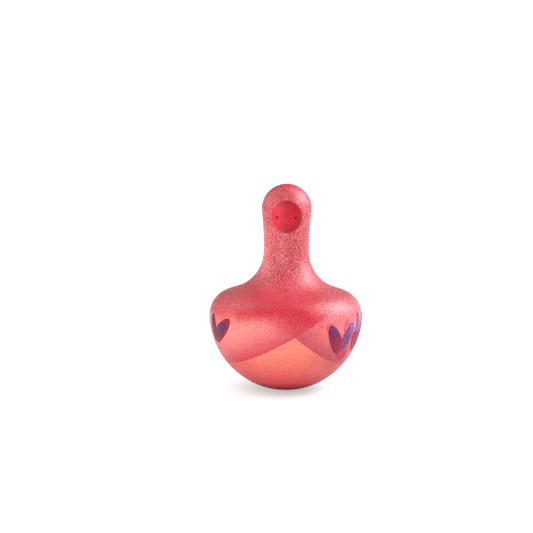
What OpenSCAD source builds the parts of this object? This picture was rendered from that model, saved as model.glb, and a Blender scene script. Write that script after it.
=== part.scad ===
// Roly-poly bird: a weighted, self-righting desk toy.
// A round-bottomed paper-pulp shell in three mouldings, closed over a board collar and a wooden
// neck dowel, with a cast-iron ballast bolted into the bottom. The face and the hearts are thin
// papers laid on the shell. Millimetres, +Z up, the face looks along -Y, origin on the resting face.

/* [Bowl and shoulders] */
// Radius of the round bottom
ball_r = 40; // [36:0.5:44]
// Radius of the small flat that the bird rests on
seat_r = 5; // [4.5:0.5:7]
// Radius of the shoulder's roll, above the widest line
shoulder_r = 12.7; // [10:0.2:14]
// Thickness of the shell
wall = 3; // [2.4:0.2:3.6]

/* [Neck and head] */
// Radius of the neck at its waist
neck_r = 11.9; // [11:0.1:13]
// Radius of the sweep from the shoulders into the neck
sweep_r = 20.8; // [18:0.2:22]
// Height of the neck's waist above the widest line
waist_rise = 33.6; // [33.6:0.2:36]
// Radius of the domed head
head_r = 13.1; // [12.8:0.1:14]
// Height of the head's centre above the widest line
head_rise = 55.4; // [54:0.2:60]

/* [Ballast] */
// Height of the level floor inside the bowl
floor_z = 6.6; // [6:0.2:8]
// Height of the ballast's top face
ballast_top = 16; // [14:0.5:20]
// Gap between the ballast and the shell
ballast_gap = 0.4; // [0.2:0.1:1]
// Thickness of the felt pad under the ballast
pad_t = 1; // [0.5:0.1:1.5]
// Radius of the ballast bolt
bolt_r = 2; // [1.5:0.1:2.5]

/* [Face and hearts] */
// Thickness of one paper layer
paper_t = 0.12; // [0.1:0.01:0.2]
// Half-width of the face, measured straight across
face_w = 7.8; // [6:0.2:9]
// Half-height of the face
face_h = 8.4; // [6:0.2:9]
// Height of the face's centre, from the head's centre
face_drop = -3; // [-5:0.5:0]
// Radius of an eye
eye_r = 0.55; // [0.5:0.05:0.8]
// Directions of the left and the right eye, in degrees from straight ahead
eye_turns = [-23.5, 20]; // [-26:0.5:26]

/* [Hidden] */
step = 3;                     // degrees between the points of an arc
ball_z = sqrt(ball_r^2 - seat_r^2);        // height of the widest line
shoulder_x = ball_r - shoulder_r;          // centre of the shoulder's roll
waist_z = ball_z + waist_rise;
head_z = ball_z + head_rise;
sweep_x = neck_r + sweep_r;                // centre of the sweep, level with the waist

// The long hollow of the upper neck is vertical at the waist and touches the head's circle.
neck_sweep = ((head_z - waist_z)^2 - head_r^2 + neck_r^2) / (2 * (head_r - neck_r));
neck_turn = atan2(head_z - waist_z, neck_r + neck_sweep);

// Slope of the straight stretch that touches both the shoulder's roll and the sweep.
centres = [sweep_x - shoulder_x, waist_rise];
slope = atan2(centres.x, centres.y) + acos((shoulder_r + sweep_r) / norm(centres));

bore_r = 4.4;                 // recess under the bowl for the bolt's head and the plug
plug_t = 1.6;
bolt_head_t = 2.2;
bolt_head_r = 3.8;
washer_t = 0.8;
washer_z = plug_t + bolt_head_t;
bolt_hole_r = bolt_r + 0.1;
ballast_z = floor_z + pad_t;
bolt_length = 10;
slack = 0.05;                 // clearance of the plug, the dowel and the pins in their holes

dowel_r = neck_r - wall - slack;
dowel_z = ball_z + 21;
dowel_top = head_z + 4;
collar_drop = 6;              // the collar's reach below and above the widest line
collar_lift = 4;
collar_t = 2;

// The eyes lie on the upper neck's hollow, and their pins stand square to it.
pin_r = 0.35;
pin_length = 6;
eye_z = head_z + face_drop - 0.3;
eye_x = neck_r + neck_sweep - sqrt(neck_sweep^2 - (eye_z - waist_z)^2);
eye_tilt = asin((eye_z - waist_z) / neck_sweep);

paper_colours = ["#dd6a7c", "#a81f45", "#5d4a86"];

// Each paper: name, direction it is laid in (degrees from straight ahead towards +X) and its
// petals. A petal is an oval between two ends, [x, y] and [x, y], and its width. The ends are
// distances on the curved surface, to the right of that direction and above the widest line.
// Three papers make one heart: the first lies on the shell and each later one over the others.
papers = [
    ["right_front_rose_heart", 50, [[[-12.8, 0.1], [4.4, -22.6], 6.6], [[0.6, 1.5], [4.8, -22.8], 6.8]]],
    ["right_front_crimson_petal", 50, [[[-11.2, -0.6], [-2.2, -16.4], 7.2]]],
    ["right_front_violet_heart", 50, [[[-11, -1.4], [-1.2, -14.2], 6.2], [[6.6, -0.9], [-1.6, -15], 7]]],
    ["right_rear_rose_heart", 78, [[[-11.4, -3.8], [-4.6, -18.2], 6.6], [[3.8, 2], [-4, -18.2], 8]]],
    ["right_rear_crimson_petal", 78, [[[-10, -5.8], [-5.4, -16.4], 6.2]]],
    ["right_rear_violet_heart", 78, [[[-6.8, 3.4], [-4.6, -13], 5.6], [[7.2, 1.4], [-4.2, -14], 6]]],
    ["left_front_rose_heart", -61, [[[-6.2, 0.2], [-6.2, -13], 7.6], [[4.4, -2], [-6, -12.8], 6.6]]],
    ["left_front_crimson_heart", -61, [[[-6.2, 2.2], [-6.6, -12.4], 6.8], [[10.2, 1], [-5.2, -12], 7.2]]],
    ["left_front_violet_heart", -61, [[[-7, 2], [-5.6, -10], 5], [[7.4, -1.2], [-4.6, -10], 4.6]]],
    ["left_rear_rose_heart", -98, [[[-11, 1.6], [-1.6, -21], 7], [[4.4, 2.6], [-1.2, -21.4], 7]]],
    ["left_rear_crimson_petal", -98, [[[-9, -0.8], [0.4, -16.2], 6.8]]],
    ["left_rear_violet_heart", -98, [[[-8.8, -2], [0, -14], 5], [[7.6, -0.8], [0.2, -14.4], 5.8]]]
];

$fn = 96;

// Points of an arc about c, from angle a to angle b.
function arc(c, r, a, b) =
    let (n = max(1, ceil(abs(b - a) / step)))
    [for (i = [0:n]) c + r * [cos(a + (b - a) * i / n), sin(a + (b - a) * i / n)]];

// The bowl's side of the outline, moved inwards by an inset, from z = 0 up to the widest line.
function bowl_line(inset) =
    let (r = ball_r - inset, start = inset == 0 ? -acos(seat_r / ball_r) : -90)
    arc([0, ball_z], r, start, 0);

// The outline above the widest line, moved inwards by an inset, up to the top of the head.
function upper_line(inset) = concat(
    arc([shoulder_x, ball_z], shoulder_r - inset, 0, 90 - slope),
    arc([sweep_x, waist_z], sweep_r + inset, 270 - slope, 180),
    arc([neck_r + neck_sweep, waist_z], neck_sweep + inset, 180, 180 - neck_turn),
    arc([0, head_z], head_r - inset, -neck_turn, 90)
);

// A solid of the bird's outer form or, with an inset, of its hollow.
module bowl_form(inset) {
    rotate_extrude() polygon(concat([[0, ball_z]], [[0, bowl_line(inset)[0].y]], bowl_line(inset)));
}

module upper_form(inset) {
    rotate_extrude() polygon(concat([[0, ball_z]], upper_line(inset)));
}

// A skin over the whole bird, from its surface out to a thickness.
module skin(thickness) {
    outer = concat(bowl_line(-thickness), upper_line(-thickness));
    inner = concat(bowl_line(-1e-9), upper_line(0));
    rotate_extrude() polygon(concat(outer, [for (i = [len(inner) - 1:-1:0]) inner[i]]));
}

// An oval between two ends on the curved surface, as it looks from straight in front of it.
function petal_points(ends, w) =
    let (
        middle = (ends[0] + ends[1]) / 2,
        long = (ends[1] - ends[0]) / 2,
        short = w / 2 * [-long.y, long.x] / norm(long),
        deg = 180 / PI / ball_r
    )
    [for (t = [0:10:350])
     let (p = middle + long * cos(t) + short * sin(t))
     [ball_r * sin(p.x * deg), ball_z + ball_r * sin(p.y * deg)]];

// A bar with the given cross-section that leaves the bird's axis along a direction.
module bar(turn) {
    rotate([0, 0, turn]) rotate([90, 0, 0]) linear_extrude(ball_r + 5) children();
}

module lower_bowl() {
    color("#ee6f66") difference() {
        bowl_form(0);
        difference() {
            bowl_form(wall);
            translate([-ball_r, -ball_r, 0]) cube([2 * ball_r, 2 * ball_r, floor_z]);
        }
        translate([0, 0, -1]) cylinder(r = bore_r, h = washer_z + washer_t + 1);
        cylinder(r = bolt_hole_r, h = floor_z + 1);
    }
}

// One half of the shoulders, neck and head: side is -1 for the front and 1 for the back.
module upper_half(side) {
    color("#d9485a") difference() {
        upper_form(0);
        upper_form(wall);
        translate([-ball_r - 1, side < 0 ? 0 : -ball_r - 1, 0])
            cube([2 * ball_r + 2, ball_r + 1, head_z + head_r + 1]);
        if (side < 0) eye_holes();
    }
}

module upper_shell_front() { upper_half(-1); }

module upper_shell_back() { upper_half(1); }

// Board ring behind the seam between the bowl and the upper halves.
module joining_collar() {
    color("#b79a6e") difference() {
        union() {
            intersection() {
                bowl_form(wall);
                translate([0, 0, ball_z - collar_drop]) cylinder(r = ball_r, h = collar_drop);
            }
            intersection() {
                upper_form(wall);
                translate([0, 0, ball_z]) cylinder(r = ball_r, h = collar_lift);
            }
        }
        translate([0, 0, ball_z - collar_drop - 1])
            cylinder(r = ball_r - wall - collar_t, h = collar_drop + collar_lift + 2);
    }
}

module neck_dowel() {
    color("#d8b98a") difference() {
        translate([0, 0, dowel_z]) cylinder(r = dowel_r, h = dowel_top - dowel_z);
        eye_holes();
    }
}

// Cast-iron cap that fills the bottom of the bowl, tapped for the bolt.
module ballast_weight() {
    color("#4a4d52") difference() {
        intersection() {
            translate([0, 0, ball_z]) sphere(r = ball_r - wall - ballast_gap);
            translate([0, 0, ballast_z]) cylinder(r = ball_r, h = ballast_top - ballast_z);
        }
        translate([0, 0, floor_z]) cylinder(r = bolt_r + slack, h = ballast_top);
    }
}

module ballast_pad() {
    pad_r = sqrt((ball_r - wall)^2 - (ball_z - floor_z)^2) - 1;
    color("#7d7a74") translate([0, 0, floor_z]) difference() {
        cylinder(r = pad_r, h = pad_t);
        translate([0, 0, -1]) cylinder(r = bolt_hole_r, h = pad_t + 2);
    }
}

module ballast_bolt() {
    socket_d = 2.9;
    color("#b9bcc0") difference() {
        union() {
            translate([0, 0, plug_t]) cylinder(r = bolt_head_r, h = bolt_head_t);
            translate([0, 0, washer_z - 0.5]) cylinder(r = bolt_r, h = bolt_length + 0.5);
        }
        translate([0, 0, plug_t - 1]) cylinder(d = socket_d, h = 2.2, $fn = 6);
    }
}

module bolt_washer() {
    color("#c9ccd0") translate([0, 0, washer_z]) difference() {
        cylinder(r = bore_r - 0.2, h = washer_t);
        translate([0, 0, -1]) cylinder(r = bolt_hole_r, h = washer_t + 2);
    }
}

// Wooden button that hides the bolt; its outer face is the flat that the bird rests on.
module base_plug() {
    color("#b5343f") cylinder(r = bore_r - slack, h = plug_t);
}

module face_patch() {
    points = [for (t = [0:7.5:352.5]) [face_w * cos(t), head_z + face_drop + face_h * sin(t)]];
    color("#cf2a44") difference() {
        intersection() {
            skin(paper_t);
            bar(0) polygon(points);
        }
        eye_holes();
    }
}

// Places its children on an eye's axis: z = 0 on the shell's surface, +Z outwards.
module at_eye(i) {
    rotate([0, 0, eye_turns[i]]) translate([0, -eye_x, eye_z]) rotate([90 + eye_tilt, 0, 0]) children();
}

module eye_holes() {
    for (i = [0, 1]) at_eye(i) translate([0, 0, -pin_length - 2]) cylinder(r = pin_r + slack, h = pin_length + 4);
}

module eye_pin(i) {
    color("#2a1212") at_eye(i) {
        translate([0, 0, paper_t - pin_length]) cylinder(r = pin_r, h = pin_length + 0.1);
        intersection() {
            translate([0, 0, paper_t - eye_r / 2]) sphere(r = eye_r * 1.15);
            translate([0, 0, paper_t]) cylinder(r = 2 * eye_r, h = 2 * eye_r);
        }
    }
}

module left_eye_pin() { eye_pin(0); }

module right_eye_pin() { eye_pin(1); }

module paper_bar(p) {
    bar(p[1]) for (petal = p[2]) polygon(petal_points([petal[0], petal[1]], petal[2]));
}

// Paper number i, which drapes over the earlier papers of the same heart.
module paper(i) {
    layer = i % 3;
    color(paper_colours[layer]) difference() {
        intersection() {
            skin((layer + 1) * paper_t);
            paper_bar(papers[i]);
        }
        for (j = [0:1:layer - 1]) intersection() {
            skin((j + 1) * paper_t);
            paper_bar(papers[i - layer + j]);
        }
    }
}

lower_bowl();
upper_shell_front();
upper_shell_back();
joining_collar();
neck_dowel();
ballast_weight();
ballast_pad();
ballast_bolt();
bolt_washer();
base_plug();
face_patch();
left_eye_pin();
right_eye_pin();
for (i = [0:len(papers) - 1]) paper(i);
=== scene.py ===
"""Looks of the roly-poly bird: smooth lacquered skins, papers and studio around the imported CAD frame.

Metres, row frame: +Z up, the face looks along -Y, origin at the centre of the resting flat.
"""

import bisect
import math

import bpy
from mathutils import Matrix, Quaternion, Vector, noise


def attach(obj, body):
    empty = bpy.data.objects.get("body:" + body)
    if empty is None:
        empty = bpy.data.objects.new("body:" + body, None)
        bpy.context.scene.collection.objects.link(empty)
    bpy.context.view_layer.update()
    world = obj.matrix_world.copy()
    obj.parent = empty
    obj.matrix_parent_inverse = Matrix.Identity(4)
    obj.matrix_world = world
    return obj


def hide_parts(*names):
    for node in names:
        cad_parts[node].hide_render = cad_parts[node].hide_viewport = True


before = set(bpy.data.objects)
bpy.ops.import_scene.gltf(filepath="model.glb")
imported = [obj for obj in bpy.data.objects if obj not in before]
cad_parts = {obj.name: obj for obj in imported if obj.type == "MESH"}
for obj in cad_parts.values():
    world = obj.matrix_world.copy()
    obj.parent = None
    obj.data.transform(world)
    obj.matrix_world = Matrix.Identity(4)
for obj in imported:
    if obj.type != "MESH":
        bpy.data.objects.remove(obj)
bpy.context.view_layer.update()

MM = 0.001
ZERO = 1e-9

# The body's outline, as in the CAD source.
BALL_R = 40 * MM
SEAT_R = 5 * MM
SHOULDER_R = 12.7 * MM
WALL = 3 * MM
NECK_R = 11.9 * MM
SWEEP_R = 20.8 * MM
WAIST_RISE = 33.6 * MM
HEAD_R = 13.1 * MM
HEAD_RISE = 55.4 * MM
FLOOR_Z = 6.6 * MM
BORE_R = 4.4 * MM
BORE_TOP = 4.6 * MM
BOLT_HOLE_R = 2.1 * MM
PLUG_R = 4.35 * MM
PLUG_T = 1.6 * MM
PLUG_CHAMFER = 0.25 * MM

BALL_Z = math.sqrt(BALL_R**2 - SEAT_R**2)
SHOULDER_X = BALL_R - SHOULDER_R
WAIST_Z = BALL_Z + WAIST_RISE
HEAD_Z = BALL_Z + HEAD_RISE
SWEEP_X = NECK_R + SWEEP_R
NECK_SWEEP = ((HEAD_RISE - WAIST_RISE) ** 2 - HEAD_R**2 + NECK_R**2) / (2 * (HEAD_R - NECK_R))
NECK_TURN = math.atan2(HEAD_RISE - WAIST_RISE, NECK_R + NECK_SWEEP)
ARC_GAP = math.hypot(SWEEP_X - SHOULDER_X, WAIST_RISE)
SLOPE = math.atan2(SWEEP_X - SHOULDER_X, WAIST_RISE) + math.acos((SHOULDER_R + SWEEP_R) / ARC_GAP)

FACE_W = 7.8 * MM
FACE_H = 8.4 * MM
FACE_Z = HEAD_Z - 3 * MM
EYE_Z = FACE_Z - 0.3 * MM
EYE_TURNS = {"left_eye": -23.5, "right_eye": 20.0}
EYE_R = 0.55 * MM
PIN_R = 0.35 * MM
PIN_REACH = 6 * MM

# Papers, as in the CAD source: a petal is its top end, its tip and its width, in surface millimetres.
PAPER_T = 0.12 * MM
RF, RR, LF, LR = "right_front_", "right_rear_", "left_front_", "left_rear_"
TURNS = {RF: 50, RR: 78, LF: -61, LR: -98}
PAPERS = {
    RF: [
        ("rose_heart", [((-12.8, 0.1), (4.4, -22.6), 6.6), ((0.6, 1.5), (4.8, -22.8), 6.8)]),
        ("crimson_petal", [((-11.2, -0.6), (-2.2, -16.4), 7.2)]),
        ("violet_heart", [((-11, -1.4), (-1.2, -14.2), 6.2), ((6.6, -0.9), (-1.6, -15), 7)]),
    ],
    RR: [
        ("rose_heart", [((-11.4, -3.8), (-4.6, -18.2), 6.6), ((3.8, 2), (-4, -18.2), 8)]),
        ("crimson_petal", [((-10, -5.8), (-5.4, -16.4), 6.2)]),
        ("violet_heart", [((-6.8, 3.4), (-4.6, -13), 5.6), ((7.2, 1.4), (-4.2, -14), 6)]),
    ],
    LF: [
        ("rose_heart", [((-6.2, 0.2), (-6.2, -13), 7.6), ((4.4, -2), (-6, -12.8), 6.6)]),
        ("crimson_heart", [((-6.2, 2.2), (-6.6, -12.4), 6.8), ((10.2, 1), (-5.2, -12), 7.2)]),
        ("violet_heart", [((-7, 2), (-5.6, -10), 5), ((7.4, -1.2), (-4.6, -10), 4.6)]),
    ],
    LR: [
        ("rose_heart", [((-11, 1.6), (-1.6, -21), 7), ((4.4, 2.6), (-1.2, -21.4), 7)]),
        ("crimson_petal", [((-9, -0.8), (0.4, -16.2), 6.8)]),
        ("violet_heart", [((-8.8, -2), (0, -14), 5), ((7.6, -0.8), (0.2, -14.4), 5.8)]),
    ],
}
# How soon the wash of a paper's first petal, and of its other petal, turns into the tip colour.
EVEN_PACE = (1.0, 1.0)
PACE = {RF + "violet_heart": (1.6, 0.72), LF + "violet_heart": (1.6, 0.9), LR + "violet_heart": (1.5, 0.8)}

# Mesh fineness: steps of a full turn and along an outline, and the papers' grid in millimetres.
SEGMENTS = 288
STEP = 0.7 * MM
PAPER_PITCH = 0.26
PAPER_MARGIN = 4


# ---------------------------------------------------------------- outline

def arc(cx, cz, r, a, b, step):
    """Points of an arc about (cx, cz) from angle a to angle b, a step apart."""
    n = max(2, round(abs(b - a) * r / step))
    turns = [a + (b - a) * i / n for i in range(n + 1)]
    return [(cx + r * math.cos(t), cz + r * math.sin(t)) for t in turns]


def straight(start, end, step):
    """Points of a straight line, a step apart."""
    (ax, az), (bx, bz) = start, end
    n = max(2, round(math.dist(start, end) / step))
    return [(ax + (bx - ax) * i / n, az + (bz - az) * i / n) for i in range(n + 1)]


def joined(*runs):
    """Runs of points end to end, each shared end once."""
    line = list(runs[0])
    for run in runs[1:]:
        line += run[1:]
    return line


def upper_line(inset, step):
    """Outline from the widest line to the top of the head, moved inwards by inset."""
    up, left = math.pi / 2, math.pi
    shoulder = arc(SHOULDER_X, BALL_Z, SHOULDER_R - inset, 0, up - SLOPE, step * (1 - inset / SHOULDER_R))
    sweep = arc(SWEEP_X, WAIST_Z, SWEEP_R + inset, left + up - SLOPE, left, step * (1 + inset / SWEEP_R))
    neck = arc(NECK_R + NECK_SWEEP, WAIST_Z, NECK_SWEEP + inset, left, left - NECK_TURN,
               step * (1 + inset / NECK_SWEEP))
    head = arc(0, HEAD_Z, HEAD_R - inset, -NECK_TURN, up, step * (1 - inset / HEAD_R))
    return joined(shoulder, straight(shoulder[-1], sweep[0], step), sweep, neck, head)


def ball_line(inset, low_angle, step):
    """Outline of the ball from a low angle up to the widest line, moved inwards by inset."""
    return arc(0, BALL_Z, BALL_R - inset, low_angle, 0, step * (1 - inset / BALL_R))


def outline_normals(line):
    """Unit normals of an outline that runs upwards, pointing outwards."""
    normals = []
    for i in range(len(line)):
        (ax, az), (bx, bz) = line[max(0, i - 1)], line[min(len(line) - 1, i + 1)]
        size = math.hypot(bx - ax, bz - az)
        normals.append(((bz - az) / size, (ax - bx) / size))
    return normals


def spun(r, z, turn):
    """Point, or direction, of radius r and height z at a turn (radians, 0 is straight ahead, -Y)."""
    return Vector((r * math.sin(turn), -r * math.cos(turn), z))


def relief(p):
    """How far the hand-laid shell dips under its true form at a point; none at the resting flat."""
    swell = noise.noise(p * 62.0) * 0.6 + noise.noise(p * 140.0 + Vector((3.1, 0.7, 5.2))) * 0.4
    fade = min(1.0, max(0.0, (p.z - 1.5 * MM) / (5 * MM)))
    return -0.05 * MM * max(0.0, 0.6 + swell) * fade * fade


def outer_point(r, z, normal, turn, lift=0.0):
    """Point of the outer surface with its relief, from its outline point and outline normal."""
    p = spun(r, z, turn)
    return p + spun(*normal, turn) * (relief(p) + lift)


# ---------------------------------------------------------------- meshes

def new_piece(name, mesh):
    piece = bpy.data.objects.new(name, mesh)
    bpy.context.scene.collection.objects.link(piece)
    return piece


def new_mesh(name, verts, faces, sharp_degrees=35):
    """A smooth mesh with its real corners kept."""
    mesh = bpy.data.meshes.new(name)
    mesh.from_pydata([tuple(v) for v in verts], [], faces)
    mesh.validate()
    mesh.shade_smooth()
    mesh.set_sharp_from_angle(angle=math.radians(sharp_degrees))
    return mesh


def add_face(faces, corners):
    """Add a face without the corners that repeat where a ring shrinks to a point."""
    corners = list(dict.fromkeys(corners))
    if len(corners) > 2:
        faces.append(corners)


def spun_piece(name, line, segments=64):
    """A solid spun from an outline that runs from the axis and back to it."""
    verts, rows, faces = [], [], []
    turns = [2 * math.pi * k / segments for k in range(segments)]
    for r, z in line:
        first = len(verts)
        if r < ZERO:
            rows.append([first] * segments)
            verts.append((0.0, 0.0, z))
        else:
            rows.append(list(range(first, first + segments)))
            verts += [(r * math.cos(t), r * math.sin(t), z) for t in turns]
    for a, b in zip(rows, rows[1:]):
        for k in range(segments):
            m = (k + 1) % segments
            add_face(faces, (a[k], a[m], b[m], b[k]))
    return new_piece(name, new_mesh(name, verts, faces))


def shell_piece(name, outer, inner, start, end):
    """A spun shell: outer runs upwards and carries the relief, inner runs back down inside.

    start and end are in steps of a full turn. A part turn is closed with flat ends, for which
    inner has as many points as outer.
    """
    full = end - start == SEGMENTS
    columns = range(start, end if full else end + 1)
    normals = outline_normals(outer)
    if outer[-1][0] < ZERO:
        normals[-1] = (0.0, 1.0)
    for tip in (0, -1):
        if abs(outer[tip][1] - BALL_Z) < ZERO:
            normals[tip] = (1.0, 0.0)
    verts, rows = [], []
    loop = list(zip(outer, normals)) + [(point, None) for point in inner]
    for (r, z), normal in loop:
        row = []
        for c in columns:
            if r < ZERO and row:
                row.append(row[0])
                continue
            turn = 2 * math.pi * c / SEGMENTS
            row.append(len(verts))
            verts.append(outer_point(r, z, normal, turn) if normal else spun(r, z, turn))
        rows.append(row)
    faces = []
    for i, row in enumerate(rows):
        j = (i + 1) % len(rows)
        if loop[i][0][0] < ZERO and loop[j][0][0] < ZERO:
            continue
        for k in range(len(columns) if full else len(columns) - 1):
            m = (k + 1) % len(columns)
            add_face(faces, (row[k], row[m], rows[j][m], rows[j][k]))
    if not full:
        for i in range(len(outer) - 1):
            ends = (rows[i], rows[i + 1], rows[-2 - i], rows[-1 - i])
            add_face(faces, [row[0] for row in reversed(ends)])
            add_face(faces, [row[-1] for row in ends])
    mesh = new_mesh(name, verts, faces)
    seamless_normals(mesh, outer, normals)
    return new_piece(name, mesh)


def seamless_normals(mesh, outer, normals):
    """True surface normals on the outer skin, so that neighbouring pieces shade as one surface."""
    seats = sorted((z, r, normal) for (r, z), normal in zip(outer, normals))
    probe = 0.25 * MM
    reach = 0.12 * MM
    facing = 0.9

    def true_normal(co):
        turn, radius = math.atan2(co.x, -co.y), math.hypot(co.x, co.y)
        i = bisect.bisect_left(seats, (co.z,))
        near = seats[max(0, i - 3) : i + 3]
        z, r, normal = min(near, key=lambda seat: math.hypot(seat[1] - radius, seat[0] - co.z))
        if math.hypot(r - radius, z - co.z) > reach:
            return None
        p, n = spun(r, z, turn), spun(*normal, turn)
        side = Vector((math.cos(turn), math.sin(turn), 0.0))
        up = side.cross(n)
        for along in (side, up):
            n = n - along * (relief(p + along * probe) - relief(p - along * probe)) / (2 * probe)
        return n.normalized()

    wanted = [true_normal(v.co) for v in mesh.vertices]
    loops = []
    for poly in mesh.polygons:
        for index in poly.vertices:
            n = wanted[index]
            loops.append(tuple(n) if n and poly.normal.dot(n) > facing else (0.0, 0.0, 0.0))
    mesh.normals_split_custom_set(loops)


def make_shell():
    """The three skins: the bowl with its recess, and the front and back halves above it."""
    bowl_outer = ball_line(0, -math.acos(SEAT_R / BALL_R), STEP)
    inside_r = BALL_R - WALL
    inside_floor = math.sqrt(inside_r**2 - (BALL_Z - FLOOR_Z) ** 2)
    inside = ball_line(WALL, -math.acos(inside_floor / inside_r), 3 * STEP)[::-1]
    recess = [(BOLT_HOLE_R, FLOOR_Z), (BOLT_HOLE_R, BORE_TOP), (BORE_R, BORE_TOP), (BORE_R, 0.0)]
    bowl = shell_piece("bowl_skin", bowl_outer, inside + recess, 0, SEGMENTS)
    outer, inner = upper_line(0, STEP), upper_line(WALL, STEP)[::-1]
    quarter = SEGMENTS // 4
    front = shell_piece("front_skin", outer, inner, -quarter, quarter)
    back = shell_piece("back_skin", outer, inner, quarter, 3 * quarter)
    for piece, node in ((bowl, "lower_bowl"), (front, "upper_shell_front"), (back, "upper_shell_back")):
        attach(piece, "root")
        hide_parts(node)
    return [bowl, front, back]


# ---------------------------------------------------------------- papers

def ellipse_distance(u, v, long, short):
    """Signed distance (about) from the edge of an ellipse about the origin: below 0 inside."""
    f = math.hypot(u / long, v / short)
    g = math.hypot(u / long**2, v / short**2)
    return (f - 1) * f / g if g > ZERO else -short


def petal_distance(x, y, petal):
    """Signed distance from a petal's edge in surface millimetres: below 0 inside."""
    (ax, ay), (bx, by), width = petal
    mx, my = x - (ax + bx) / 2, y - (ay + by) / 2
    lx, ly = (bx - ax) / 2, (by - ay) / 2
    long = math.hypot(lx, ly)
    return ellipse_distance((mx * lx + my * ly) / long, (my * lx - mx * ly) / long, long, width / 2)


def outline_of(petals):
    return lambda x, y: min(petal_distance(x, y, petal) for petal in petals)


def travel_of(petals, pace):
    """0 at the top of the nearest petal, 1 at its tip, at the pace of the first petal or the other."""
    def travel(x, y):
        nearest = min(petals, key=lambda petal: petal_distance(x, y, petal))
        (ax, ay), (bx, by), _ = nearest
        dx, dy = bx - ax, by - ay
        along = ((x - ax) * dx + (y - ay) * dy) / (dx * dx + dy * dy)
        return min(1.0, max(0.0, along * pace[0 if nearest is petals[0] else 1]))
    return travel


def face_outline(x, y):
    return ellipse_distance(x, y, FACE_W / MM, FACE_H / MM)


def face_travel(x, y):
    """0 at the middle of the face, 1 at its edge."""
    return ramp(math.hypot(x / (FACE_W / MM), y / (FACE_H / MM)), 0.0, 1.0)


def ramp(value, low, high):
    t = min(1.0, max(0.0, (value - low) / (high - low)))
    return t * t * (3 - 2 * t)


def on_flank(x, y, turn, lift):
    """Point of the flank at surface millimetres (x, y) from a direction's point on the widest line."""
    across, z = BALL_R * math.sin(x * MM / BALL_R), BALL_R * math.sin(y * MM / BALL_R)
    if z > 0:
        out = math.sqrt(SHOULDER_R**2 - z * z)
        r, normal = SHOULDER_X + out, (out / SHOULDER_R, z / SHOULDER_R)
    else:
        r = math.sqrt(BALL_R**2 - z * z)
        normal = (r / BALL_R, z / BALL_R)
    bearing = math.radians(turn) + math.asin(across / r)
    return outer_point(r, BALL_Z + z, normal, bearing, lift)


def neck_sweep_at(z):
    """Radius and outline normal of the long curve that widens the neck into the head."""
    out = math.sqrt(NECK_SWEEP**2 - (z - WAIST_Z) ** 2)
    return NECK_R + NECK_SWEEP - out, (out / NECK_SWEEP, (WAIST_Z - z) / NECK_SWEEP)


def on_face(x, y, turn, lift):
    """Point of the head at millimetres (x, y) from the face's centre, seen from in front."""
    z = FACE_Z + y * MM
    if z > HEAD_Z - HEAD_R * math.sin(NECK_TURN):
        r = math.sqrt(HEAD_R**2 - (z - HEAD_Z) ** 2)
        normal = (r / HEAD_R, (z - HEAD_Z) / HEAD_R)
    else:
        r, normal = neck_sweep_at(z)
    return outer_point(r, z, normal, turn + math.asin(x * MM / r), lift)


def moved_to_edge(x, y, distance):
    """The nearest point of an outline, by a few steps down the slope of its distance."""
    e = 0.02
    for _ in range(4):
        d = distance(x, y)
        gx = (distance(x + e, y) - distance(x - e, y)) / (2 * e)
        gy = (distance(x, y + e) - distance(x, y - e)) / (2 * e)
        g2 = max(gx * gx + gy * gy, 0.2)
        x, y = x - d * gx / g2, y - d * gy / g2
    return x, y


def paper_piece(name, place, distance, size, turn, below, travel):
    """A closed thin paper over the surface.

    distance(x, y) is its outline, below the outlines of the papers under it, travel the wash
    along it, and size the box (x0, x1, y0, y1) that holds it, all in surface millimetres.
    """
    kept_within = 0.55 * PAPER_PITCH
    drape = (-0.12, 0.2)
    rounded = 0.35
    edge_height = 0.45
    x0, x1, y0, y1 = size
    nx, ny = round((x1 - x0) / PAPER_PITCH), round((y1 - y0) / PAPER_PITCH)
    near = {}
    for i in range(nx + 1):
        for j in range(ny + 1):
            near[i, j] = distance(x0 + i * PAPER_PITCH, y0 + j * PAPER_PITCH)
    cells = []
    for i in range(nx):
        for j in range(ny):
            ring = [(i, j), (i + 1, j), (i + 1, j + 1), (i, j + 1)]
            if max(near[c] for c in ring) < kept_within:
                cells.append(ring)
    sides = {side for ring in cells for side in zip(ring, ring[1:] + ring[:1])}
    rim = sorted((a, b) for a, b in sides if (b, a) not in sides)
    rim_points = {c for side in rim for c in side}
    verts, top, low, data = [], {}, {}, []
    for c in sorted({c for ring in cells for c in ring}):
        x, y = x0 + c[0] * PAPER_PITCH, y0 + c[1] * PAPER_PITCH
        if c in rim_points:
            x, y = moved_to_edge(x, y, distance)
        d = distance(x, y)
        covers = [ramp(-other(x, y), *drape) for other in below]
        under = PAPER_T * sum(covers)
        rise = PAPER_T * (edge_height + (1 - edge_height) * ramp(-d, 0.0, rounded))
        top[c], low[c] = len(verts), len(verts) + 1
        verts += [place(x, y, turn, under + rise), place(x, y, turn, under)]
        data += [(covers + [0.0, 0.0])[:2] + [-d, travel(x, y)]] * 2
    faces = [[top[c] for c in ring] for ring in cells]
    faces += [[low[c] for c in reversed(ring)] for ring in cells]
    faces += [[low[a], low[b], top[b], top[a]] for a, b in rim]
    mesh = new_mesh(name, verts, faces, sharp_degrees=60)
    for k, label in enumerate(("over_first", "over_second", "from_edge", "travel")):
        layer = mesh.attributes.new(label, "FLOAT", "POINT")
        layer.data.foreach_set("value", [d[k] for d in data])
    return new_piece(name, mesh)


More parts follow.
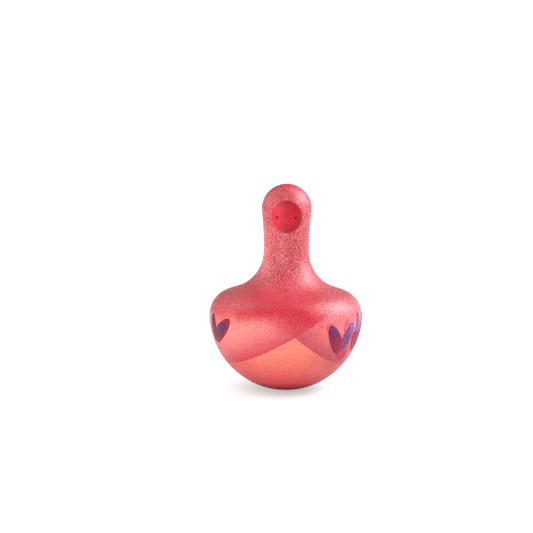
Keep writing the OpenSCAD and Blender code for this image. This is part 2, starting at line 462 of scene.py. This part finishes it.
def make_papers():
    """The hearts and petals of the flanks, each laid over the ones before it."""
    made = []
    for side, papers in PAPERS.items():
        outlines = []
        for name, petals in papers:
            xs = [end[0] for petal in petals for end in petal[:2]]
            ys = [end[1] for petal in petals for end in petal[:2]]
            size = (min(xs) - PAPER_MARGIN, max(xs) + PAPER_MARGIN,
                    min(ys) - PAPER_MARGIN, max(ys) + PAPER_MARGIN)
            outline = outline_of(petals)
            travel = travel_of(petals, PACE.get(side + name, EVEN_PACE))
            piece = paper_piece(side + name + "_wash", on_flank, outline, size, TURNS[side],
                                list(outlines), travel)
            outlines.append(outline)
            kind = name.split("_")[0]
            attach(piece, "root")
            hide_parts(side + name)
            made.append((kind, piece))
    return made


def make_face():
    size = (-9, 9, -10, 10)
    piece = paper_piece("face_wash", on_face, face_outline, size, 0.0, [], face_travel)
    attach(piece, "root")
    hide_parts("face_patch")
    return piece


# ---------------------------------------------------------------- eyes and plug

def make_eyes():
    """Black-headed pins: a domed head with a rolled rim and a round shank with a point."""
    eye_x, (level, dip) = neck_sweep_at(EYE_Z)
    dome_r = EYE_R * 1.15
    rim_r = math.sqrt(dome_r**2 - (EYE_R / 2) ** 2)
    rise = dome_r - EYE_R / 2
    roll = 0.04 * MM
    base, tip, steps = PAPER_T, PAPER_T - PIN_REACH, 14
    line = [(0.0, tip), (0.18 * MM, tip + 0.25 * MM), (PIN_R, tip + 0.9 * MM), (PIN_R, base)]
    line += [(rim_r - roll, base), (rim_r, base + roll)]
    for i in range(1, steps):
        t = math.pi / 2 * i / steps
        line.append((rim_r * math.cos(t) ** 0.8, base + roll + (rise - roll) * math.sin(t)))
    line.append((0.0, base + rise))
    made = []
    for name, turn in EYE_TURNS.items():
        piece = spun_piece(name + "_bead", line)
        turn = math.radians(turn)
        stand = spun(level, dip, turn).to_track_quat("Z", "Y").to_matrix().to_4x4()
        stand.translation = spun(eye_x, EYE_Z, turn)
        piece.data.transform(stand)
        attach(piece, "root")
        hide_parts(name + "_pin")
        made.append(piece)
    return made


def make_plug():
    """The wooden button: flat resting face, a small worn chamfer and a snug side."""
    c, worn = PLUG_CHAMFER, 0.3 * PLUG_CHAMFER
    bevel = 0.1 * MM
    line = [(PLUG_R * f, 0.0) for f in (0.0, 0.3, 0.6, 0.85)]
    line += [(PLUG_R - c, 0.0), (PLUG_R - worn, 0.6 * worn), (PLUG_R, c)]
    line += [(PLUG_R, PLUG_T - bevel), (PLUG_R - bevel, PLUG_T), (0.0, PLUG_T)]
    piece = spun_piece("plug_button", line, 96)
    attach(piece, "root")
    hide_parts("base_plug")
    return piece


# ---------------------------------------------------------------- node helper

class Nodes:
    """Wires the shader nodes of a material or of the world."""

    def __init__(self, owner, output, shader, place):
        owner.use_nodes = True
        self.owner = owner
        self.tree = owner.node_tree
        self.tree.nodes.clear()
        self.shader = self.tree.nodes.new(shader)
        self.link(self.shader.outputs[0], self.tree.nodes.new(output).inputs[0])
        self.coords = self.tree.nodes.new("ShaderNodeTexCoord").outputs[place]

    def link(self, a, b):
        self.tree.links.new(a, b)

    def put(self, socket, value):
        """Link a socket to the value, or set it to the value."""
        if isinstance(value, bpy.types.NodeSocket):
            self.link(value, socket)
        elif isinstance(value, tuple) and len(value) == 3 and socket.type == "RGBA":
            socket.default_value = (*value, 1.0)
        else:
            socket.default_value = value

    def math(self, kind, *values):
        n = self.tree.nodes.new("ShaderNodeMath")
        n.operation = kind
        for socket, value in zip(n.inputs, values):
            self.put(socket, value)
        return n.outputs[0]

    def add(self, a, b):
        return self.math("ADD", a, b)

    def less(self, a, b):
        return self.math("SUBTRACT", a, b)

    def times(self, a, b):
        return self.math("MULTIPLY", a, b)

    def larger(self, a, b):
        return self.math("MAXIMUM", a, b)

    def size(self, a):
        return self.math("ABSOLUTE", a)

    def axes(self):
        """X, Y and Z of the surface point."""
        n = self.tree.nodes.new("ShaderNodeSeparateXYZ")
        self.link(self.coords, n.inputs[0])
        return n.outputs

    def length(self):
        """Distance of the surface point from the origin."""
        n = self.tree.nodes.new("ShaderNodeVectorMath")
        n.operation = "LENGTH"
        self.link(self.coords, n.inputs[0])
        return n.outputs["Value"]

    def beyond(self, normal, offset):
        """Distance of the surface point beyond a plane that lies offset from the ball's centre."""
        n = self.tree.nodes.new("ShaderNodeVectorMath")
        n.operation = "DOT_PRODUCT"
        self.link(self.coords, n.inputs[0])
        n.inputs[1].default_value = normal
        return self.less(n.outputs["Value"], offset + normal[2] * BALL_Z)

    def scaled(self, x, y, z):
        """Coordinates scaled along each axis, for drawn-out patterns."""
        n = self.tree.nodes.new("ShaderNodeMapping")
        self.link(self.coords, n.inputs[0])
        n.inputs["Scale"].default_value = (x, y, z)
        return n.outputs[0]

    def noise(self, scale, detail, rough, at=None, distortion=0.0):
        n = self.tree.nodes.new("ShaderNodeTexNoise")
        self.link(at or self.coords, n.inputs["Vector"])
        n.inputs["Scale"].default_value = scale
        n.inputs["Detail"].default_value = detail
        n.inputs["Roughness"].default_value = rough
        n.inputs["Distortion"].default_value = distortion
        return n.outputs[0]

    def drift(self, scale, detail, rough, swing):
        """Noise about 0, swing from end to end."""
        return self.times(self.less(self.noise(scale, detail, rough), 0.5), swing)

    def spangles(self, scale):
        """A random colour in each cell."""
        n = self.tree.nodes.new("ShaderNodeTexVoronoi")
        self.link(self.coords, n.inputs["Vector"])
        n.inputs["Scale"].default_value = scale
        return n.outputs["Color"]

    def ramp(self, value, low, high, to_low=0.0, to_high=1.0):
        """Smooth step from to_low where the value is low to to_high where it is high."""
        n = self.tree.nodes.new("ShaderNodeMapRange")
        n.interpolation_type = "SMOOTHSTEP"
        for socket, v in zip(n.inputs, (value, low, high, to_low, to_high)):
            self.put(socket, v)
        return n.outputs[0]

    def mix(self, fac, a, b, kind="MIX"):
        n = self.tree.nodes.new("ShaderNodeMix")
        n.data_type = "RGBA"
        n.blend_type = kind
        factor, color_a, color_b = n.inputs[0], n.inputs[6], n.inputs[7]
        for socket, v in ((factor, fac), (color_a, a), (color_b, b)):
            self.put(socket, v)
        return n.outputs[2]

    def attribute(self, name):
        n = self.tree.nodes.new("ShaderNodeAttribute")
        n.attribute_name = name
        return n.outputs["Fac"]

    def bump(self, height, distance, strength=1.0, under=None):
        n = self.tree.nodes.new("ShaderNodeBump")
        n.inputs["Strength"].default_value = strength
        n.inputs["Distance"].default_value = distance
        self.link(height, n.inputs["Height"])
        if under:
            self.link(under, n.inputs["Normal"])
        return n.outputs[0]

    def finish(self, color, roughness, normal=None, **others):
        """Feed the shader and return the material."""
        self.put(self.shader.inputs["Base Color"], color)
        self.put(self.shader.inputs["Roughness"], roughness)
        if normal:
            self.link(normal, self.shader.inputs["Normal"])
        for key, value in others.items():
            self.put(self.shader.inputs[key.replace("_", " ")], value)
        return self.owner


def material_nodes(name):
    material = bpy.data.materials.new(name)
    return Nodes(material, "ShaderNodeOutputMaterial", "ShaderNodeBsdfPrincipled", "Object")


def srgb(r, g, b):
    """Linear colour from 0-255 display values."""
    def one(c):
        c /= 255
        return c / 12.92 if c <= 0.04045 else ((c + 0.055) / 1.055) ** 2.4
    return (one(r), one(g), one(b))


# ---------------------------------------------------------------- lacquer and papers

PAINT_DEPTH = 0.8
GRAIN_SCALE = 1500.0
PAPER_LACQUER = {"Coat_Weight": 0.08, "Coat_Roughness": 0.4, "Specular_IOR_Level": 0.08}

# Planes that cut the body where each wing's coat ends: normal, and offset from the ball's centre.
LEFT_WING = ((-0.516, -0.084, 0.853), -3.9 * MM)
RIGHT_WING = ((0.664, -0.130, 0.736), 3.6 * MM)
COAT_EDGE = 0.25 * MM

# A paper's display colours: top, tip, over one paper, over two papers, and along its edge.
WASHES = {
    "rose": ((246, 104, 132), (202, 48, 82), (182, 34, 74), (156, 30, 70), (200, 44, 82)),
    "crimson": ((166, 18, 62), (168, 20, 60), (180, 18, 62), (146, 22, 60), (132, 14, 54)),
    "violet": ((132, 110, 174), (166, 20, 62), (118, 76, 148), (106, 40, 100), (122, 42, 104)),
}
# The heart of the left front lies deeper in colour than the others.
DEEP_WASHES = {
    "rose": ((230, 80, 108), (178, 38, 72), (158, 28, 64), (134, 24, 60), (172, 34, 72)),
    "crimson": ((164, 20, 62), (160, 18, 56), (166, 16, 58), (134, 16, 54), (112, 8, 44)),
    "violet": ((100, 76, 128), (140, 18, 56), (90, 58, 116), (86, 48, 108), (92, 22, 70)),
}


def paint(r, g, b):
    """Paint colour from the display values it shows under the studio's strong light."""
    return tuple(PAINT_DEPTH * c for c in srgb(r, g, b))


def coated(n, color, grit, frost_and_glints):
    """The satin lacquer over a colour: grit is its dark grain, and the frosty part is its pale specks,
    partly painted glints, and its relief.
    """
    grain = n.noise(GRAIN_SCALE, 1.0, 0.5)
    fine = n.noise(GRAIN_SCALE * 1.35, 1.0, 0.5)
    cloud = n.noise(75.0, 3.0, 0.55)
    streak = n.noise(240.0, 3.0, 0.6, at=n.scaled(1.0, 1.0, 7.0))
    dark = n.mix(1.0, color, (0.42, 0.10, 0.17), "MULTIPLY")
    pale = n.mix(0.62, color, paint(246, 196, 208))
    shade = n.mix(n.times(n.ramp(grain, 0.58, 0.38), grit), color, dark)
    # The pale specks are partly grain and partly painted glints.
    shade = n.mix(n.times(n.ramp(fine, 0.5, 0.66), frost_and_glints), shade, pale)
    shade = n.mix(n.ramp(cloud, 0.45, 0.75, 0.0, 0.14), shade, dark)
    shade = n.mix(n.ramp(streak, 0.5, 0.7, 0.0, 0.22), shade, dark)
    rough = n.ramp(grain, 0.3, 0.7, 0.52, 0.36)
    swell = n.bump(n.noise(260.0, 2.0, 0.5), 0.08 * MM, 0.5)
    height = n.times(n.add(grain, fine), n.add(n.times(frost_and_glints, 1.3), 0.15))
    return shade, rough, n.bump(height, 0.4 * MM, 1.0, swell)


def belly_color(n, x, z):
    """Peach. Deeper paint at the sides and the desk, duller on the right, stands in for shade."""
    color = n.mix(n.ramp(z, 30 * MM, 1 * MM), paint(254, 132, 110), paint(204, 38, 54))
    color = n.mix(n.ramp(n.size(x), 12 * MM, 32 * MM, 0.0, 0.45), color, paint(204, 50, 66))
    dull_side = n.times(n.ramp(x, 6 * MM, 24 * MM, 0.0, 0.4), n.ramp(z, 12 * MM, 22 * MM))
    color = n.mix(dull_side, color, paint(196, 84, 96))
    return n.mix(n.ramp(z, 8 * MM, 1 * MM), color, paint(138, 2, 26))


def shell_color(n, x, z):
    """The peach belly, the two wing coats that cross over it, and the deep red coat from above."""
    waver = n.drift(420.0, 3.0, 0.6, 0.8 * MM)
    left, right = n.add(n.beyond(*LEFT_WING), waver), n.add(n.beyond(*RIGHT_WING), waver)
    left_in, right_in = n.ramp(left, -COAT_EDGE, COAT_EDGE), n.ramp(right, -COAT_EDGE, COAT_EDGE)
    # Each wing is deeper along its edge. The left one's pale middle is partly a painted highlight, and its
    # far side is deeper too, as painted shade.
    left_wing = n.mix(n.ramp(left, 19 * MM, -2 * MM), paint(255, 142, 130), paint(204, 42, 66))
    left_wing = n.mix(n.ramp(x, -26 * MM, -40 * MM, 0.0, 0.7), left_wing, paint(212, 50, 70))
    right_wing = n.mix(n.ramp(right, 14 * MM, 0.0), paint(242, 112, 116), paint(200, 60, 80))
    color = n.mix(left_in, n.mix(right_in, belly_color(n, x, z), right_wing), left_wing)
    # The deep red of the neck comes down over the shoulders, lowest at the breast.
    above = n.add(z, -BALL_Z)
    bulge = n.math("POWER", n.ramp(n.size(n.add(x, -3 * MM)), 0.0, 26 * MM, 1.0, 0.0), 1.3)
    rise = n.add(above, n.add(n.times(bulge, 6 * MM), n.drift(60.0, 3.0, 0.6, 5 * MM)))
    on_left, on_right = n.ramp(rise, -1.5 * MM, 6.5 * MM), n.ramp(above, -1 * MM, 11 * MM)
    deep_in = n.add(on_right, n.times(left_in, n.less(on_left, on_right)))
    color = n.mix(deep_in, color, paint(224, 16, 50))
    # Paler paint on the left of the neck and the left shoulder stands in for light from that side.
    on_neck = n.times(n.ramp(z, 58 * MM, 68 * MM), n.ramp(z, 90 * MM, 82 * MM))
    pale_neck = n.times(n.ramp(x, -5 * MM, -13 * MM, 0.0, 0.6), on_neck)
    pale_shoulder = n.times(n.ramp(x, -14 * MM, -32 * MM, 0.0, 0.9), n.ramp(z, 49 * MM, 55 * MM))
    return n.mix(n.larger(pale_neck, pale_shoulder), color, srgb(250, 132, 132))


def shell_material():
    n = material_nodes("coral_lacquer")
    x, _, z = n.axes()
    color = shell_color(n, x, z)
    # The frosty grain grows upwards, and starts lower on the flanks than at the breast. Its pale specks
    # are partly painted glints, and on the flanks they are a painted highlight. The flank masks also raise
    # the gloss.
    right_flank_sheen = n.times(n.ramp(x, 6 * MM, 26 * MM), n.ramp(z, 34 * MM, 46 * MM))
    left_flank_sheen = n.times(n.ramp(x, -9 * MM, -28 * MM, 0.0, 0.85), n.ramp(z, 42 * MM, 50 * MM))
    flank_sheen = n.times(n.larger(right_flank_sheen, left_flank_sheen), 0.9)
    grit = n.ramp(z, 30 * MM, 52 * MM, 0.38, 1.0)
    frost_and_glints = n.larger(n.ramp(z, 46 * MM, 66 * MM, 0.16, 0.78), flank_sheen)
    frost_and_glints = n.times(frost_and_glints, n.ramp(z, 96 * MM, 106 * MM, 1.0, 0.7))
    shade, rough, normal = coated(n, color, grit, frost_and_glints)
    gloss = n.add(n.ramp(z, 18 * MM, 34 * MM, 0.04, 0.6), n.ramp(z, 44 * MM, 60 * MM, 0.0, 0.25))
    # Hardly any gloss next to the desk, where it would mirror the white table as a grey rim.
    specular = n.ramp(z, 2 * MM, 14 * MM, 0.0, 0.25)
    return n.finish(shade, rough, normal, Coat_Weight=n.larger(gloss, flank_sheen), Coat_Roughness=0.5,
                    Specular_IOR_Level=specular)


def paper_material(name, wash):
    """A translucent paper: its own wash, and the deeper colours where it lies over other papers."""
    n = material_nodes(name)
    wash_top, wash_tip, over_one, over_two, edge_color = (paint(*color) for color in wash)
    travel = n.add(n.attribute("travel"), n.drift(330.0, 4.0, 0.65, 0.35))
    color = n.mix(n.attribute("over_first"), wash_top, over_one)
    color = n.mix(n.attribute("over_second"), color, over_two)
    color = n.mix(n.ramp(travel, 0.45, 0.85), color, wash_tip)
    color = n.mix(n.ramp(n.attribute("from_edge"), 0.15, 0.9, 0.75, 0.0), color, edge_color)
    blot = n.ramp(n.noise(760.0, 2.0, 0.6), 0.5, 0.66, 0.0, 0.45)
    color = n.mix(blot, color, n.mix(0.6, edge_color, wash_tip))
    shade, rough, normal = coated(n, color, 0.6, 0.15)
    return n.finish(shade, rough, normal, **PAPER_LACQUER)


def face_material():
    n = material_nodes("face_wash_paper")
    color = n.mix(n.ramp(n.noise(180.0, 3.0, 0.6), 0.35, 0.7), paint(208, 14, 46), paint(192, 8, 38))
    color = n.mix(n.ramp(n.attribute("travel"), 0.55, 1.0), color, paint(180, 14, 42))
    # Brighter paint on its left stands in for light from that side.
    x, _, _ = n.axes()
    color = n.mix(n.ramp(x, 0.0, -7 * MM), color, paint(238, 40, 66))
    shade, rough, normal = coated(n, color, 0.35, 0.1)
    return n.finish(shade, rough, normal, Specular_IOR_Level=0.2)


# ---------------------------------------------------------------- other materials

def enamel_material():
    n = material_nodes("eye_black_enamel")
    worn = n.noise(2400.0, 3.0, 0.6)
    color = n.mix(n.ramp(worn, 0.4, 0.75), srgb(24, 4, 8), srgb(52, 10, 16))
    rough = n.ramp(worn, 0.3, 0.7, 0.42, 0.6)
    return n.finish(color, rough, n.bump(worn, 0.02 * MM, 0.5), Specular_IOR_Level=0.15)


def plug_material():
    n = material_nodes("plug_red_wood")
    rings = n.noise(700.0, 5.0, 0.6, at=n.scaled(1.0, 0.16, 1.0))
    pores = n.ramp(n.noise(3400.0, 2.0, 0.6, at=n.scaled(1.0, 0.08, 1.0)), 0.6, 0.75)
    color = n.mix(n.ramp(rings, 0.35, 0.7), srgb(176, 44, 56), srgb(142, 30, 44))
    color = n.mix(n.times(pores, 0.6), color, srgb(96, 20, 30))
    worn = n.ramp(n.noise(520.0, 3.0, 0.6), 0.55, 0.7)
    color = n.mix(n.times(worn, 0.25), color, srgb(206, 128, 110))
    return n.finish(color, n.ramp(worn, 0.0, 1.0, 0.4, 0.6), n.bump(n.less(rings, pores), 0.05 * MM, 0.7))


def board_material():
    n = material_nodes("rolled_board")
    fibre = n.noise(1500.0, 5.0, 0.7, at=n.scaled(0.3, 0.3, 1.0))
    flecks = n.ramp(n.noise(3000.0, 2.0, 0.5), 0.62, 0.72, 0.0, 0.7)
    color = n.mix(fibre, srgb(150, 126, 92), srgb(184, 158, 118))
    color = n.mix(flecks, color, srgb(104, 84, 62))
    return n.finish(color, n.ramp(fibre, 0.2, 0.8, 0.95, 0.8), n.bump(fibre, 0.08 * MM, 0.8))


def beech_material():
    n = material_nodes("turned_beech")
    grain = n.noise(420.0, 5.0, 0.62, at=n.scaled(1.0, 1.0, 0.07), distortion=0.4)
    rays = n.ramp(n.noise(2600.0, 2.0, 0.5, at=n.scaled(1.0, 1.0, 0.22)), 0.6, 0.72, 0.0, 0.5)
    color = n.mix(n.ramp(grain, 0.3, 0.7), srgb(222, 184, 138), srgb(190, 146, 100))
    color = n.mix(rays, color, srgb(156, 108, 70))
    return n.finish(color, n.ramp(grain, 0.3, 0.7, 0.55, 0.68), n.bump(grain, 0.06 * MM, 0.7))


def iron_material():
    n = material_nodes("painted_cast_iron")
    sand = n.noise(1100.0, 6.0, 0.72)
    pits = n.ramp(n.noise(2200.0, 2.0, 0.5), 0.66, 0.78)
    rust = n.ramp(n.noise(210.0, 4.0, 0.6), 0.6, 0.74)
    color = n.mix(n.ramp(sand, 0.3, 0.7), srgb(48, 48, 52), srgb(74, 74, 78))
    color = n.mix(n.times(rust, 0.6), color, srgb(112, 62, 38))
    rough = n.ramp(rust, 0.0, 1.0, 0.5, 0.85)
    return n.finish(color, rough, n.bump(n.less(sand, pits), 0.15 * MM, 0.9), Metallic=0.35)


def felt_material():
    n = material_nodes("wool_felt")
    hair = n.noise(2600.0, 6.0, 0.75, distortion=1.6)
    clump = n.ramp(n.noise(420.0, 3.0, 0.6), 0.5, 0.7, 0.0, 0.4)
    color = n.mix(n.ramp(hair, 0.3, 0.7), srgb(92, 90, 86), srgb(140, 136, 130))
    color = n.mix(clump, color, srgb(74, 70, 68))
    return n.finish(color, 0.95, n.bump(hair, 0.12 * MM, 0.9), Sheen_Weight=0.4)


def zinc_material(name, tint):
    n = material_nodes(name)
    lathe = n.noise(5200.0, 3.0, 0.6, at=n.scaled(1.0, 1.0, 0.12))
    stain = n.ramp(n.noise(380.0, 4.0, 0.6), 0.5, 0.75)
    color = n.mix(n.times(lathe, 0.5), tint, srgb(150, 152, 158))
    color = n.mix(0.12, color, n.spangles(900.0))
    color = n.mix(n.times(stain, 0.35), color, srgb(128, 118, 100))
    return n.finish(color, n.ramp(stain, 0.0, 1.0, 0.28, 0.5), n.bump(lathe, 0.02 * MM, 0.6), Metallic=1.0)


# ---------------------------------------------------------------- build

def dress(piece, material):
    piece.data.materials.clear()
    piece.data.materials.append(material)


shell = shell_material()
for skin in make_shell():
    dress(skin, shell)

washes = {kind: paper_material(kind + "_wash_paper", wash) for kind, wash in WASHES.items()}
deep_washes = {
    kind: paper_material(kind + "_deep_wash_paper", wash) for kind, wash in DEEP_WASHES.items()
}
for kind, paper in make_papers():
    dress(paper, (deep_washes if paper.name.startswith(LF) else washes)[kind])
dress(make_face(), face_material())
enamel = enamel_material()
for eye in make_eyes():
    dress(eye, enamel)
dress(make_plug(), plug_material())

inner_materials = {
    "joining_collar": board_material(),
    "neck_dowel": beech_material(),
    "ballast_weight": iron_material(),
    "ballast_pad": felt_material(),
    "ballast_bolt": zinc_material("bolt_zinc", srgb(196, 198, 204)),
    "bolt_washer": zinc_material("washer_zinc", srgb(208, 210, 214)),
}
for node, material in inner_materials.items():
    dress(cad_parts[node], material)


# ---------------------------------------------------------------- studio

BODY = (0.0, 0.0, 0.05)
AIM = Vector((-10.3 * MM, 0.0, 64.6 * MM))
DISTANCE = 0.9
TILT = math.radians(8.0)
LEAN = math.radians(0.5)


def floor():
    """A white table that glows like a lit sweep, as painted light: the glow is less close around the bird,
    as a painted shadow, and less at its sides.
    """
    # A hair below the resting flat, so that the two don't lie in one plane.
    level = -0.02 * MM
    table = spun_piece("floor", [(r, level) for r in (8.0, 2.0, 0.6, 0.15, 0.0)], 48)
    n = material_nodes("white_table")
    tone = n.mix(n.noise(9.0, 2.0, 0.5), (0.29, 0.29, 0.29), (0.32, 0.32, 0.32))
    x, y, _ = n.axes()
    away = n.length()
    # Painted light: the glow is dimmer close around the bird, as a painted shadow, and dimmer at the
    # sides.
    glow = n.add(n.ramp(away, 0.006, 0.04, 0.45, 0.84), n.ramp(away, 0.04, 0.2, 0.0, 0.16))
    aside = n.less(n.size(x), n.times(y, 0.17))
    glow = n.times(glow, n.ramp(aside, 0.17, 0.42, 1.0, 0.35))
    dress(table, n.finish(tone, 0.6, Specular_IOR_Level=0.1, Emission_Color=(1.0, 1.0, 1.0),
                          Emission_Strength=glow))


def sky():
    """A bright band low behind the bird, full white at the horizon, and a dimmer sky overhead."""
    world = bpy.data.worlds.new("studio")
    bpy.context.scene.world = world
    n = Nodes(world, "ShaderNodeOutputWorld", "ShaderNodeBackground", "Generated")
    x, y, z = n.axes()
    band = n.add(n.ramp(z, 0.02, 0.24, 0.88, 0.0), n.ramp(z, 0.02, 0.035, 0.32, 0.0))
    aside = n.math("MULTIPLY_ADD", y, -0.2, n.size(x))
    band = n.times(band, n.ramp(aside, 0.0, 0.4, 1.0, 0.45))
    n.link(n.add(band, n.ramp(z, 0.55, 1.0, 0.12, 0.4)), n.shader.inputs["Strength"])


def softbox(name, place, width, height, power, color):
    """A soft area light aimed at the bird's body."""
    light = bpy.data.lights.new(name, "AREA")
    light.shape = "RECTANGLE"
    light.size, light.size_y, light.energy, light.color = width, height, power, color
    lamp = new_piece(name, light)
    lamp.location = place
    lamp.rotation_mode = "QUATERNION"
    lamp.rotation_quaternion = (Vector(BODY) - Vector(place)).to_track_quat("-Z", "Y")


def camera():
    """A long lens from a little above, leaning slightly."""
    eye = new_piece("camera", bpy.data.cameras.new("camera"))
    bpy.context.scene.camera = eye
    eye.data.sensor_width = 36.0
    eye.data.lens = 116.1
    eye.data.clip_start, eye.data.clip_end = 0.05, 30.0
    away = Vector((0.0, -math.cos(TILT), math.sin(TILT)))
    eye.location = AIM + away * DISTANCE
    eye.rotation_mode = "QUATERNION"
    eye.rotation_quaternion = Quaternion(away, LEAN) @ (-away).to_track_quat("-Z", "Y")


floor()
sky()
softbox("right_softbox", (0.70, 0.16, 0.60), 0.5, 0.6, 16.0, (1.0, 0.97, 0.99))
softbox("left_softbox", (-0.38, -0.80, 0.20), 0.6, 0.45, 7.4, (1.0, 0.97, 0.93))
softbox("side_softbox", (-0.80, 0.26, 0.42), 0.4, 0.4, 2.8, (1.0, 0.96, 0.95))
softbox("top_softbox", (-0.5, 0.15, 0.8), 0.6, 0.6, 2.6, (1.0, 0.96, 0.93))
camera()

bpy.context.scene.view_settings.view_transform = "Standard"
bpy.context.scene.view_settings.look = "None"
